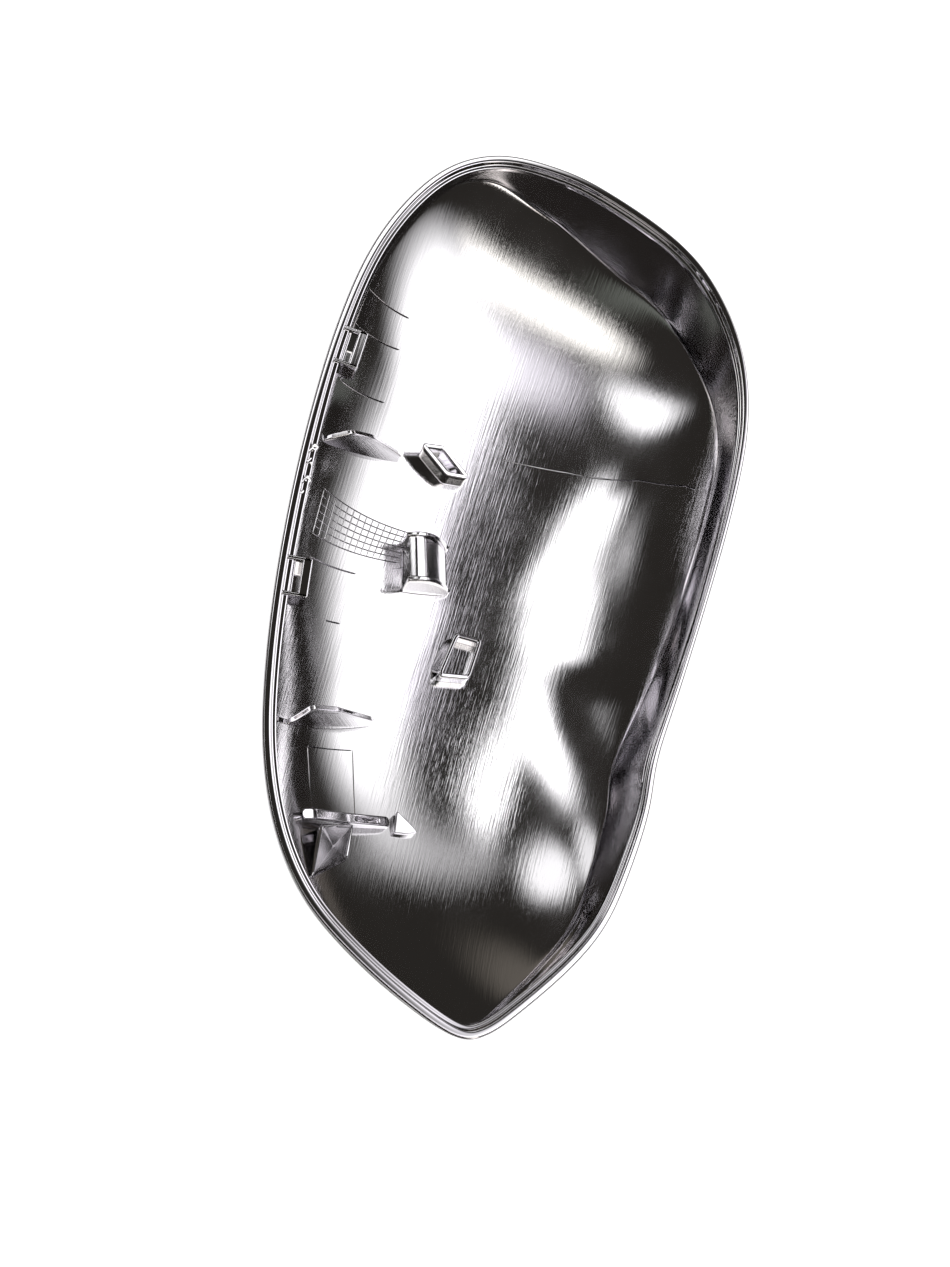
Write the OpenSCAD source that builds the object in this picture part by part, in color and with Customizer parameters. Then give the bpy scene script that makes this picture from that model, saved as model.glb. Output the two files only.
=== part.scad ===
// Chrome-plated cover of a right-hand wing mirror, a single moulding lying on its back.
// The open side is up: +X runs to the big round end, +Y to the edge that carries the snap clips.
// All lengths are in millimetres.

/* [Cover] */
// Length over the rim
cover_length = 240; // [200:1:280]
// Width over the rim
cover_width = 119; // [100:1:140]
// Height from the back to the rim face
cover_depth = 62; // [50:1:75]
// Wall thickness of the moulding
wall = 2.6; // [2:0.1:3.4]

/* [Rim] */
// Width of the flat rim face along the clip edge
clip_edge_face = 2.2; // [1.6:0.1:3]
// Width of the flat rim face along the opposite edge
plain_edge_face = 1.3; // [1:0.1:2]
// Width of the stepped lip inside the rim face along the clip edge
lip_width = 1.9; // [0.8:0.1:2.4]
// Drop from the rim face to the stepped lip
lip_drop = 1.1; // [0.6:0.1:1.5]
// Bevel on the outer edge of the rim
rim_bevel = 0.5; // [0.2:0.1:0.8]
// Depth over which the thick rim thins down to the wall
rim_fade = 11; // [8:1:16]

/* [Side wall] */
// Draft of the upright wall along the long edges, in degrees
side_draft = 3; // [1:0.5:6]
// Draft of the upright wall round the big end, in degrees
end_draft = 13; // [8:0.5:18]
// Depth of the recess that thins the wall beside the pointed end
recess_depth = 1.3; // [0.5:0.1:1.6]

/* [Snap clips] */
// Length of a clip along the rim
clip_length = 10.9; // [8:0.1:14]
// Reach of a clip from the outer edge of the rim
clip_reach = 9.2; // [8:0.1:12]
// Thickness of the catch strip at the inner side of a clip
catch_strip = 2.4; // [1.6:0.1:3]
// Drop of the clip tops below the rim face
clip_drop = 0.5; // [0.2:0.1:1.5]
// Thickness of a clip's end walls
clip_end = 1.1; // [0.8:0.1:1.8]

/* [Ribs and bosses] */
// Thickness of the two upright fins
fin_thickness = 1.4; // [1:0.1:2]
// Thickness of the ledge rib above the gusset
ledge_thickness = 2.8; // [2:0.1:3.5]
// Wall thickness of the hollow sockets
socket_wall = 1.3; // [1:0.1:1.6]
// Height of the sockets above the floor of the cover
socket_height = 8; // [5:0.5:10]
// Length of the ramp boss across its curved face
ramp_length = 14.4; // [10:0.2:18]
// Thickness of the two ribs that edge the ramp boss
ramp_rib = 1.3; // [1:0.1:2]
// How far the ramp's edge ribs stand above its face
ramp_rib_rise = 1; // [0.5:0.1:2]

/* [Hidden] */

// Rim outline, counter-clockwise from the big end
RIM = [
    [118.2, 0], [119.6, 15], [117.8, 30], [110, 42.5], [96, 51.4], [77, 57.3], [54, 59.3], [30, 58.9],
    [5, 57], [-20, 53.8], [-43, 49.4], [-64, 43.5], [-83, 34.3], [-98, 21.6], [-108.5, 4.5],
    [-115.8, -12], [-119.8, -25.5], [-116.8, -33], [-108, -40.2], [-93.5, -49.7], [-80, -55.5],
    [-64, -57.8], [-48, -58.5], [-34, -57], [-15, -58], [12, -59], [40, -59.3], [63.8, -57.6],
    [83, -51.6], [99, -40.4], [110.5, -25]
];

// Lowest point of the back, under the centre of mass, so that the cover lies still
LOW = [5.7, -2];

// Reach of the bowl from the lowest point, at the height of the rim, at equal angles from +X
BOWL = [122, 120, 85.7, 65.8, 58.8, 61, 71, 97.3, 123.5, 139.3, 96.3, 65.7, 61, 63.8, 79, 114.4];

// Height from the back to the rim that the outline and the features are drawn at
DRAWN_DEPTH = 62;

// How each side rounds off, as [plain edge, clip edge, big end, pointed end]
FLATNESS = [2.6, 2.3, 3, 2.4];
FULLNESS = 1.2;
CLIP_SIDE_DRAFT = 4;
TAIL_DRAFT = 6;
DRAFTS = [side_draft, CLIP_SIDE_DRAFT, end_draft, TAIL_DRAFT];
FACES = [plain_edge_face, clip_edge_face, clip_edge_face, clip_edge_face];
LIP_SHARE = [0.15, 1, 0.65, 0.8];

// Stretch of the rim, counted in outline points, that the thinned wall runs along
RECESS_FROM = 16.5;
RECESS_TO = 20.3;

steps = 3;
wall_rows = 3;
bowl_rows = 13;
wall_tries = 6;
last_row = wall_rows + bowl_rows;
count = len(RIM) * steps;

// Smooth curve through four neighbouring outline points, at t from the second to the third
function curve(a, b, c, d, t) =
    (2 * b + (c - a) * t + (2 * a - 5 * b + 4 * c - d) * t ^ 2 + (3 * b - a - 3 * c + d) * t ^ 3) / 2;

function outline_point(i) = RIM[(i + len(RIM)) % len(RIM)];

// Drawn point of the rim at s, counted in outline points
function drawn_at(s) =
    let (i = floor(s))
    curve(outline_point(i - 1), outline_point(i), outline_point(i + 1), outline_point(i + 2), s - i);

drawn = [for (i = [0:count - 1]) drawn_at(i / steps)];

// The drawing is centred, and follows the cover's own length, width and depth.
drawn_min = [min([for (p = drawn) p.x]), min([for (p = drawn) p.y])];
drawn_max = [max([for (p = drawn) p.x]), max([for (p = drawn) p.y])];
kx = cover_length / (drawn_max.x - drawn_min.x);
ky = cover_width / (drawn_max.y - drawn_min.y);
kz = cover_depth / DRAWN_DEPTH;
middle = (drawn_min + drawn_max) / 2;

function placed(p) = [(p.x - middle.x) * kx, (p.y - middle.y) * ky, (len(p) == 3 ? p.z : 0) * kz];

rim = [for (p = drawn) placed([p.x, p.y, DRAWN_DEPTH])];

function rim_inward(s) =
    let (v = placed(drawn_at(s + 0.05)) - placed(drawn_at(s - 0.05 + len(RIM))), t = v / norm(v))
    [-t.y, t.x];

// Blend of a value set for the four sides, by the angle a from the lowest point
function by_side(set, a) =
    let (c = cos(a), s = sin(a))
    (set[0] * s ^ 2 * (1 - s) + set[1] * s ^ 2 * (1 + s) + set[2] * c ^ 2 * (1 + c) + set[3] * c ^ 2 * (1 - c)) / 2;

angles = [for (p = drawn) atan2(p.y - LOW.y, p.x - LOW.x)];

// Smooth closed curve near the bowl's reaches
function bowl_reach(a) =
    let (
        x = a / 360 * len(BOWL), i = floor(x), t = x - i,
        near = [for (k = [-1:2]) BOWL[(i + k + len(BOWL)) % len(BOWL)]]
    )
    ((1 - t) ^ 3 * near[0] + (3 * t ^ 3 - 6 * t ^ 2 + 4) * near[1]
     + (-3 * t ^ 3 + 3 * t ^ 2 + 3 * t + 1) * near[2] + t ^ 3 * near[3]) / 6;

// Height of the bowl above the back, at a distance out from the lowest point:
// along each ray it climbs as a superellipse with that side's flatness.
function bowl_height(out, a) =
    DRAWN_DEPTH * (1 - (1 - min(1, out / bowl_reach(a)) ^ by_side(FLATNESS, a)) ^ (1 / FULLNESS));

// Height of the upright wall, where it comes down from the rim and meets the bowl
function wall_height(out, slope, a, tries, h = 0) =
    tries == 0 ? h : wall_height(out, slope, a, tries - 1, DRAWN_DEPTH - bowl_height(out - h * slope, a));

out_to_rim = [for (p = drawn) norm(p - LOW)];
slopes = [for (a = angles) tan(by_side(DRAFTS, a))];
walls = [for (i = [0:count - 1]) wall_height(out_to_rim[i], slopes[i], angles[i], wall_tries)];

function on_ray(i, out, z) = placed([LOW.x + out * cos(angles[i]), LOW.y + out * sin(angles[i]), z]);

// Outer face: the upright wall down from the rim, then the bowl down to the lowest point
function outer_point(i, k) =
    let (
        down = walls[i] * min(k, wall_rows) / wall_rows,
        inset = cos(90 * max(0, k - wall_rows) / bowl_rows) ^ (2 / by_side(FLATNESS, angles[i])),
        out = (out_to_rim[i] - down * slopes[i]) * inset
    )
    on_ray(i, out, k <= wall_rows ? DRAWN_DEPTH - down : bowl_height(out, angles[i]));

outer = [for (k = [0:last_row]) [for (i = [0:count - 1]) outer_point(i, k)]];

low = placed(LOW);

// Direction into the hollow, square to the outer face
function inward(i, k) =
    let (
        along = outer[k][(i + 1) % count] - outer[k][(i + count - 1) % count],
        down = outer[min(k + 1, last_row)][i] - outer[max(k - 1, 0)][i],
        n = cross(along, down)
    )
    n / norm(n);

function rim_width(i) = by_side(FACES, angles[i]) + lip_width * by_side(LIP_SHARE, angles[i]);

// 1 on the stretch of wall that is thinned, 0 elsewhere
function recessed(i, k) = let (s = i / steps) s >= RECESS_FROM && s <= RECESS_TO && k <= wall_rows ? 1 : 0;

function thickness(i, k) =
    let (fade = max(0, 1 - (cover_depth - outer[k][i].z) / rim_fade) ^ 2)
    wall + (rim_width(i) - wall) * fade - recess_depth * recessed(i, k);

inner = [for (k = [0:last_row - 1]) [for (i = [0:count - 1]) outer[k][i] + inward(i, k) * thickness(i, k)]];

// Ring that lies inside the rim's outline by the given width
function ring_inside(widths, z) =
    [for (i = [0:count - 1]) let (n = rim_inward(i / steps))
        [rim[i].x + n.x * widths[i], rim[i].y + n.y * widths[i], z]];

bevels = [for (i = [0:count - 1]) rim_bevel];
face_widths = [for (a = angles) by_side(FACES, a)];
lip_widths = [for (i = [0:count - 1]) rim_width(i)];

function flat(rings) = [for (ring = rings) each ring];

// Triangles between two neighbouring rings, and from a pole to a ring
function strip(a, b) =
    [for (i = [0:count - 1]) let (j = (i + 1) % count) each [[a + i, b + j, a + j], [a + i, b + i, b + j]]];
function fan(pole, ring) = [for (i = [0:count - 1]) [pole, ring + i, ring + (i + 1) % count]];
function fan_back(pole, ring) = [for (i = [0:count - 1]) [pole, ring + (i + 1) % count, ring + i]];

module lofted(rings, first_pole, last_pole) {
    last = 1 + count * (len(rings) - 1);
    polyhedron(
        points = concat([first_pole], flat(rings), [last_pole]),
        faces = concat(
            fan(0, 1),
            [for (r = [0:len(rings) - 2]) each strip(1 + r * count, 1 + (r + 1) * count)],
            fan_back(last + count, last)
        )
    );
}

// The shell: outer face from its lowest point up to the rim, over the rim and down the inner face
module shell() {
    rings = concat(
        [for (k = [last_row - 1:-1:1]) outer[k]],
        [[for (p = outer[0]) [p.x, p.y, cover_depth - rim_bevel]]],
        [ring_inside(bevels, cover_depth), ring_inside(face_widths, cover_depth)],
        [ring_inside(lip_widths, cover_depth - lip_drop)],
        [for (k = [1:last_row - 1]) inner[k]]
    );
    lofted(rings, low, low + [0, 0, wall]);
}

// The space that ribs and clips may fill: the hollow with half of the wall's thickness round it
module hollow() {
    rings = concat(
        [for (k = [last_row - 1:-1:0]) [for (i = [0:count - 1]) outer[k][i] + inward(i, k) * wall / 2]],
        [ring_inside([for (i = [0:count - 1]) wall / 2], cover_depth)]
    );
    lofted(rings, low + [0, 0, wall / 2], low + [0, 0, cover_depth]);
}

// Places of the two snap clips, counted in outline points
CLIPS = [6.22, 8.92];
CLIP_ROOT = 20;
SLOT_START = 2.5;
SLOT_WIDTH = 1.5;
MIDDLE_BAR = 1.4;
FIRST_SLOT_DEPTH = 4.5;
SECOND_SLOT_DEPTH = 11;

// Stands children at a place on the rim, with x pointing into the cover and y along the rim
module on_rim(s) {
    n = rim_inward(s);
    translate(placed(drawn_at(s)) + [0, 0, cover_depth]) rotate([0, 0, atan2(n.y, n.x)]) children();
}

module snap_clip(s) {
    on_rim(s) translate([rim_bevel, -clip_length / 2, -CLIP_ROOT])
        cube([clip_reach - rim_bevel, clip_length, CLIP_ROOT - clip_drop]);
}

module clip_slots(s) {
    inside = clip_length - 2 * clip_end;
    second = SLOT_START + SLOT_WIDTH + MIDDLE_BAR;
    on_rim(s) {
        translate([SLOT_START, -inside / 2, -FIRST_SLOT_DEPTH])
            cube([SLOT_WIDTH, inside, FIRST_SLOT_DEPTH + 1]);
        translate([second, -inside / 2, -SECOND_SLOT_DEPTH])
            cube([clip_reach - catch_strip - second, inside, SECOND_SLOT_DEPTH + 1]);
    }
}

// Fins: where the first end stands, the bearing, and the top edge as [distance, height]
FIN_BEARING = -60;
FIN_1 = [27.6, 50.7];
FIN_1_TOP = [[-5, 47], [-0.6, 48.4], [5.2, 49.4], [12.6, 40.9], [23.4, 19.3], [24, 16]];
FIN_2 = [-50.4, 37.6];
FIN_2_TOP = [[-5, 40], [0, 45], [1.9, 51], [3.9, 58], [12.3, 46.4], [25.5, 19.5], [26.2, 16]];
LEDGE_BEARING = -69;
LEDGE = [-73, 25];
LEDGE_TOP = [[-3, 47], [0, 46.3], [10.3, 34.8], [23, 23], [23.6, 20.5]];

// Slot in the ledge's edge: where it starts and ends along the ledge, its width and its depth
LEDGE_SLOT = [13, 20];
LEDGE_SLOT_WIDTH = 1.3;
LEDGE_SLOT_DEPTH = 4;

// Stands a profile upright on the plan, from a place along a bearing, shifted sideways by shift
module upright(place, bearing, thick, shift = 0) {
    translate(placed(place)) rotate([90, 0, bearing]) translate([0, 0, shift - thick / 2])
        linear_extrude(thick) children();
}

// Profile between a top edge and the ground
module under(top) {
    edge = [for (p = top) [p.x, p.y * kz]];
    polygon(concat([[edge[0].x, 0]], edge, [[edge[len(edge) - 1].x, 0]]));
}

module fins() {
    upright(FIN_1, FIN_BEARING, fin_thickness) under(FIN_1_TOP);
    upright(FIN_2, FIN_BEARING, fin_thickness) under(FIN_2_TOP);
    difference() {
        upright(LEDGE, LEDGE_BEARING, ledge_thickness) under(LEDGE_TOP);
        upright(LEDGE, LEDGE_BEARING, LEDGE_SLOT_WIDTH) {
            ends = [for (s = LEDGE_SLOT) [s, lookup(s, LEDGE_TOP) * kz]];
            sink = [0, LEDGE_SLOT_DEPTH];
            polygon([ends[0] - sink, ends[1] - sink, ends[1] + sink, ends[0] + sink]);
        }
    }
}

// Gusset under the ledge: corners of its sloping face
GUSSET = [[-75.7, 22, 46.3], [-71, 13.5, 33.9], [-90, 21, 51.8], [-79.6, 12.6, 34.2]];
GUSSET_ROUND = 0.7;
GUSSET_ROOT = 16;

module gusset() {
    hull() for (p = GUSSET, sink = [0, GUSSET_ROOT])
        translate(placed(p) - [0, 0, sink]) sphere(GUSSET_ROUND, $fn = 8);
}

// Post from the ground up to a drawn corner, raised by rise
module post(corner, rise, thick) {
    p = placed(corner);
    translate([p.x, p.y, 0]) cylinder(h = p.z + rise, d = thick, $fn = 12);
}

// Thin walls that join posts at the corners, all of them raised by rise above the corners' height
module post_walls(corners, rise, thick) {
    for (i = [0:len(corners) - 1]) hull() for (p = [corners[i], corners[(i + 1) % len(corners)]])
        post(p, rise, thick);
}

// Hollow sockets: their corners, with the height of the floor of the cover there
SLANT_SOCKET = [[44.6, 24.6, 10.1], [46.7, 18.6, 7.6], [41.4, 9.4, 4.6], [40.1, 15.4, 5.8]];
LOW_SOCKET = [[-3.8, -1.3, 2.8], [-3.4, -8.3, 2.7], [-15, -7.9, 3.3], [-17, 0.2, 3.9]];
LOW_SOCKET_SHARE = 0.75;
SKIRT = [[-5.5, 1.5, 3], [-14.5, 3, 4]];

module sockets() {
    low_rise = socket_height * LOW_SOCKET_SHARE;
    post_walls(SLANT_SOCKET, socket_height, socket_wall);
    post_walls(LOW_SOCKET, low_rise, socket_wall);
    // Skirt of the low socket, from its long wall down to the floor
    hull() {
        for (p = [LOW_SOCKET[0], LOW_SOCKET[3]]) post(p, low_rise - 1, socket_wall / 2);
        for (p = SKIRT) post(p, 0, socket_wall / 2);
    }
}

// Ramp boss: where its tall end stands, and its curved face as [distance, height]
RAMP = [10.9, 18.9];
RAMP_BEARING = -72;
RAMP_FACE = [[0, 18.8], [2.2, 19.2], [4.6, 18.4], [7, 16.4], [9.2, 13.2], [11, 9.4], [12.6, 5]];

module ramp() {
    edge = (ramp_length - ramp_rib) / 2;
    upright(RAMP, RAMP_BEARING, ramp_length) under(RAMP_FACE);
    for (shift = [-edge, edge])
        upright(RAMP, RAMP_BEARING, ramp_rib, shift) offset(delta = ramp_rib_rise) under(RAMP_FACE);
}

// Small lug near the ledge's low end: its corners
LUG = [[-60.8, 1.4, 19.5], [-64.3, -5, 18.6], [-66.5, 0.5, 20.3]];
LUG_THICKNESS = 1.4;

module lug() {
    hull() for (p = LUG) post(p, 0, LUG_THICKNESS);
}

module mirror_cover() {
    color([0.8, 0.81, 0.83]) difference() {
        union() {
            shell();
            intersection() {
                hollow();
                union() {
                    for (s = CLIPS) snap_clip(s);
                    fins();
                    gusset();
                    sockets();
                    ramp();
                    lug();
                }
            }
        }
        for (s = CLIPS) clip_slots(s);
    }
}

mirror_cover();
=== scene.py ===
# %% [markdown]
# # A chrome-plated wing mirror cover
# The object is the cover of a right-hand wing mirror: one ABS moulding, plated with chrome, lying
# on its back so that we look into its hollow. Chrome has no colour of its own. Everything the eye
# reads is a reflection, so this scene needs two things above all: smooth surfaces, whose reflections
# run without kinks, and a studio worth reflecting.
#
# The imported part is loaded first. It fixes the size and the place of all that follows, and the
# smooth surfaces made here stand for its plain solid.

import bpy
import numpy as np
from mathutils import Matrix, Vector


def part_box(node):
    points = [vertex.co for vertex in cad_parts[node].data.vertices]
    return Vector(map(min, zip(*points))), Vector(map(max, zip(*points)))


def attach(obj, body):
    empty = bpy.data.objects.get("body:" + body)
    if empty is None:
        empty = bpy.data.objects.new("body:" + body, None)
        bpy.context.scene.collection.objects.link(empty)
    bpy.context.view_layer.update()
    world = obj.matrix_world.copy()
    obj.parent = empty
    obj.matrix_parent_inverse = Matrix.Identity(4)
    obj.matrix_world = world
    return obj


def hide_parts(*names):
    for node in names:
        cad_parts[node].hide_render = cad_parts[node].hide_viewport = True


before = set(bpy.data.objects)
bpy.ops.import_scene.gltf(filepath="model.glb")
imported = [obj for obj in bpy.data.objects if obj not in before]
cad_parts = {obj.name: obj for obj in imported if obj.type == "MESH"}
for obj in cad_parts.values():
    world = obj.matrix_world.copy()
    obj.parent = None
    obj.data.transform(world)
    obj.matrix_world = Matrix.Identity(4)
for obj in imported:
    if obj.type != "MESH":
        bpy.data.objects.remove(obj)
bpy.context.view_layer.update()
LENGTH, WIDTH, DEPTH = (1000 * (high - low) for low, high in zip(*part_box("mirror_cover")))
print(f"cover: {LENGTH:.1f} x {WIDTH:.1f} x {DEPTH:.1f} mm")

# %% [markdown]
# ## The lines that shape the cover
# Two closed curves carry the whole form. The rim outline is a curve through a ring of points, and
# the bowl's reach says how far the rounded back would stretch at the height of the rim. Where the
# bowl reaches past the rim, the upright side wall cuts it off, and the two meet in a crease. It runs
# high along the clip edge and dips low beside the pointed end.
#
# The numbers are millimetres from the cover's middle, the same that the solid was drawn with, and
# `placed` brings a drawn point to the size of the loaded part. The bowl's ring of weights was worked
# out by least squares from an earlier curve about another middle.

# %% Outline, reach and sides
RIM = np.array([
    [118.2, 0], [119.6, 15], [117.8, 30], [110, 42.5], [96, 51.4], [77, 57.3], [54, 59.3], [30, 58.9],
    [5, 57], [-20, 53.8], [-43, 49.4], [-64, 43.5], [-83, 34.3], [-98, 21.6], [-108.5, 4.5],
    [-115.8, -12], [-119.8, -25.5], [-116.8, -33], [-108, -40.2], [-93.5, -49.7], [-80, -55.5],
    [-64, -57.8], [-48, -58.5], [-34, -57], [-15, -58], [12, -59], [40, -59.3], [63.8, -57.6],
    [83, -51.6], [99, -40.4], [110.5, -25],
])
BOWL = np.array([
    122, 120, 85.7, 65.8, 58.8, 61, 71, 97.3, 123.5, 139.3, 96.3, 65.7, 61, 63.8, 79, 114.4,
])
LOW = np.array([5.7, -2.0])
DRAWN_DEPTH = 62.0
WALL = 2.6

# One value each for the plain edge, the clip edge, the big end and the pointed end
FLATNESS = [2.6, 2.3, 3.0, 2.4]
DRAFTS = [3, 4, 13, 6]
FACES = [1.3, 2.2, 2.2, 2.2]
LIPS = [0.3, 1.9, 1.25, 1.5]
FULLNESS = 1.2

# Steps on each span of the rim, and the blur of its corners in spans
STEPS = 12
RIM_BLUR = 0.25


def by_side(values, angle):
    """Blends four values by direction: each counts where the angle's cosine or sine points its way."""
    c, s = np.cos(angle), np.sin(angle)
    plain, clip, big, pointed = values
    across = plain * s**2 * (1 - s) + clip * s**2 * (1 + s)
    return (across + big * c**2 * (1 + c) + pointed * c**2 * (1 - c)) / 2


def through(points, steps):
    """Closed curve through points: on each span, the cubic that leaves and arrives along the chord
    between the neighbours."""
    a, b, c, d = (np.roll(points, shift, axis=0)[:, None] for shift in (1, 0, -1, -2))
    t = (np.arange(steps) / steps)[None, :, None]
    cubic = 2 * b + (c - a) * t + (2 * a - 5 * b + 4 * c - d) * t**2 + (3 * b - a - 3 * c + d) * t**3
    return cubic.reshape(-1, points.shape[1]) / 2


def softened(loop, spread):
    """Blurs a closed loop along itself with a bell curve, spread spans wide: its fast waves are
    damped by the curve's own waves."""
    waves = np.fft.fftfreq(len(loop), 1 / STEPS)
    damping = np.exp(-2 * (np.pi * spread * waves) ** 2)
    return np.fft.ifft(np.fft.fft(loop, axis=0) * damping[:, None], axis=0).real


def reach(angle):
    """Distance from the lowest point to the bowl's edge: a smooth cubic through its ring of weights."""
    x = (angle / (2 * np.pi) * len(BOWL)) % len(BOWL)
    i, t = np.floor(x).astype(int), x % 1
    near = [BOWL[(i + k) % len(BOWL)] for k in (-1, 0, 1, 2)]
    weights = [(1 - t) ** 3, 3 * t**3 - 6 * t**2 + 4, -3 * t**3 + 3 * t**2 + 3 * t + 1, t**3]
    return sum(w * v for w, v in zip(weights, near)) / 6


sharp_rim = through(RIM, STEPS)
rim = softened(sharp_rim, RIM_BLUR)
drawn_low, drawn_high = sharp_rim.min(0), sharp_rim.max(0)
middle = (drawn_low + drawn_high) / 2
scale = np.array([LENGTH, WIDTH]) / (drawn_high - drawn_low)


def placed(points):
    """Drawn millimetres to metres in the part's frame."""
    xy = (points[..., :2] - middle) * scale
    return np.concatenate([xy, points[..., 2:] * DEPTH / DRAWN_DEPTH], axis=-1) / 1000


rim_angle = np.arctan2(rim[:, 1] - LOW[1], rim[:, 0] - LOW[0])
rim_reach = np.hypot(rim[:, 0] - LOW[0], rim[:, 1] - LOW[1])
rim_way = np.roll(rim, -1, axis=0) - np.roll(rim, 1, axis=0)
rim_way /= np.linalg.norm(rim_way, axis=1, keepdims=True)
rim_inward = np.stack([-rim_way[:, 1], rim_way[:, 0]], axis=1)
print(f"rim: {len(rim)} points round")

# %% [markdown]
# ## The shell as two skins and a rim
# Each skin is one grid: rings that climb from the lowest point of the back up to the rim. In every
# direction the bowl is a superellipse and the wall is a leaning line. A soft minimum of the two
# radii takes whichever lies further in and rounds the crease between them, as the mould's fillet
# does. The inner skin uses the same formulas, drawn in by the wall thickness.
#
# Modelling this by hand with a subdivided cage would be possible, but chrome shows every uneven
# face, and a formula keeps the reflections calm.

# %% Radii of bowl and wall
FILLET = 0.45
LIP_DROP = 1.1
RIM_FADE = 11.0
LEAST_WALL = 4.0
HALVINGS = 40

# The recess: its depth, its ends counted in outline points, its gaps to crease and rim, its soft edge
RECESS_DEPTH = 1.3
RECESS_END, RECESS_START = 20.4, 16.4
RECESS_OVER_CREASE, RECESS_UNDER_RIM = 4.0, 5.0
RECESS_LEAST_HALF = 0.5
RECESS_EDGE = 1.4
SPAN_LENGTH = 14.5

rim_place = np.arange(len(rim)) / STEPS
lean = np.tan(np.radians(by_side(DRAFTS, rim_angle)))
flat = by_side(FLATNESS, rim_angle)
face_width = by_side(FACES, rim_angle)
rim_width = face_width + by_side(LIPS, rim_angle)


def slant(radius):
    """How much longer a wall looks along a ray than square across it: the root of one plus the
    square of how fast the radius changes with direction, as a share of itself."""
    turn = np.roll(rim_angle, -1) - np.roll(rim_angle, 1)
    turn = (turn + np.pi) % (2 * np.pi) - np.pi
    change = (np.roll(radius, -1) - np.roll(radius, 1)) / turn / radius
    return np.sqrt(1 + change**2)


def smooth_step(x):
    """0 below 0, 1 above 1, and an even S between them."""
    x = np.clip(x, 0, 1)
    return x * x * (3 - 2 * x)


def soft_min(a, b, softness):
    """The smaller of two lengths, rounded where they cross: minus the log of the sum of falling
    powers."""
    low = np.minimum(a, b)
    return low - softness * np.log1p(np.exp(-np.abs(a - b) / softness))


wall_slant = slant(rim_reach)
bowl_slant = slant(reach(rim_angle))


def bowl_radius(z, inset):
    """Superellipse: the radius whose flatness power, with the drop's fullness power, adds up to one."""
    drop = np.clip((DRAWN_DEPTH - z) / (DRAWN_DEPTH - inset), 0, 1)
    return (reach(rim_angle) - inset * bowl_slant) * (1 - drop**FULLNESS) ** (1 / flat)


def recess(z, crease):
    """1 in the long recess of the wall: a slot with a round end, between the crease and the lip."""
    low_edge, high_edge = crease + RECESS_OVER_CREASE, DRAWN_DEPTH - RECESS_UNDER_RIM
    half = np.maximum((high_edge - low_edge) / 2, RECESS_LEAST_HALF)
    beyond = np.maximum((rim_place - RECESS_END) * SPAN_LENGTH + half, 0)
    before = np.maximum((RECESS_START - rim_place) * SPAN_LENGTH + half, 0)
    away = np.sqrt(beyond**2 + before**2 + (z - (low_edge + high_edge) / 2) ** 2)
    return smooth_step((half - away) / RECESS_EDGE)


def wall_radius(z, inset, crease):
    """The rim's radius, less the lean of the wall and its thickness, which grows towards the rim."""
    down = DRAWN_DEPTH - z
    radius = rim_reach - down * lean
    if inset:
        fade = np.clip(1 - (down - LIP_DROP) / RIM_FADE, 0, 1) ** 2
        thick = inset + (rim_width - inset) * fade - RECESS_DEPTH * recess(z, crease)
        radius = radius - thick * wall_slant
    return radius


def crease_height(inset):
    """Height at which wall and bowl meet, found by halving the interval that holds it."""
    low, high = np.full(len(rim), inset + 1.0), np.full(len(rim), DRAWN_DEPTH)
    for _ in range(HALVINGS):
        z = (low + high) / 2
        wall = rim_reach - (DRAWN_DEPTH - z) * lean - inset * wall_slant
        bowl_wins = bowl_radius(z, inset) < wall
        low, high = np.where(bowl_wins, z, low), np.where(bowl_wins, high, z)
    return np.minimum((low + high) / 2, DRAWN_DEPTH - LEAST_WALL)


wall_height = DRAWN_DEPTH - crease_height(0)
print(f"wall height: {wall_height.min():.1f} to {wall_height.max():.1f} mm")

# %% [markdown]
# A skin needs more rings where its form turns quickly. So the rings crowd together at the crease from
# both sides. Each ring also carries a number that says how polished the mould was there: the
# upright wall was, and the bowl was only drawn smooth.

# %% Rings of one skin
OUTER_ROWS = (46, 22)
INNER_ROWS = (84, 46)
CROWDING = (1.5, 1.4)
POLISH_FADE = 1.5
OUTER_DROP = 1.6
RIM_REACH = 1.2


def skin(inset, rows, top):
    """Rings from near the lowest point up to the height top, closely spaced at the crease.
    Below the crease the radius sets the height, above it the height sets the radius."""
    crease = crease_height(inset)
    below = 1 - (1 - np.linspace(0, 1, rows[0] + 1)[1:, None]) ** CROWDING[0]
    above = np.linspace(0, 1, rows[1] + 1)[1:, None] ** CROWDING[1]
    share = (bowl_radius(crease, inset) / (reach(rim_angle) - inset * bowl_slant)) * below
    low_z = DRAWN_DEPTH - (DRAWN_DEPTH - inset) * (1 - share**flat) ** (1 / FULLNESS)
    z = np.concatenate([low_z, crease + (top - crease) * above])
    radius = soft_min(bowl_radius(z, inset), wall_radius(z, inset, crease), FILLET)
    xy = LOW + radius[..., None] * np.stack([np.cos(rim_angle), np.sin(rim_angle)], axis=-1)
    polish = smooth_step((z - crease) / POLISH_FADE + 0.5)
    return np.concatenate([xy, z[..., None]], axis=-1), polish


outer, outer_polish = skin(0, OUTER_ROWS, DRAWN_DEPTH - OUTER_DROP)
inner, inner_polish = skin(WALL, INNER_ROWS, DRAWN_DEPTH - LIP_DROP - RIM_REACH)
print(f"outer skin {outer.shape}, inner skin {inner.shape}")

# %% [markdown]
# ## The rim
# From the outside in, the rim is a small bevel, a flat face and a step down to a narrow lip. The
# step is what draws the two thin bright lines along the clip edge. Its profile is a short list of
# corners. A small cut at each corner and two finer ones round them all, which is how a rubbing with
# emery would leave them before plating, and the faces between stay flat.

# %% Rim profile
BEVEL = 0.5
STEP_SLOPE = 0.25
CORNER_CUTS = (0.1, 0.25, 0.25)


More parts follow.
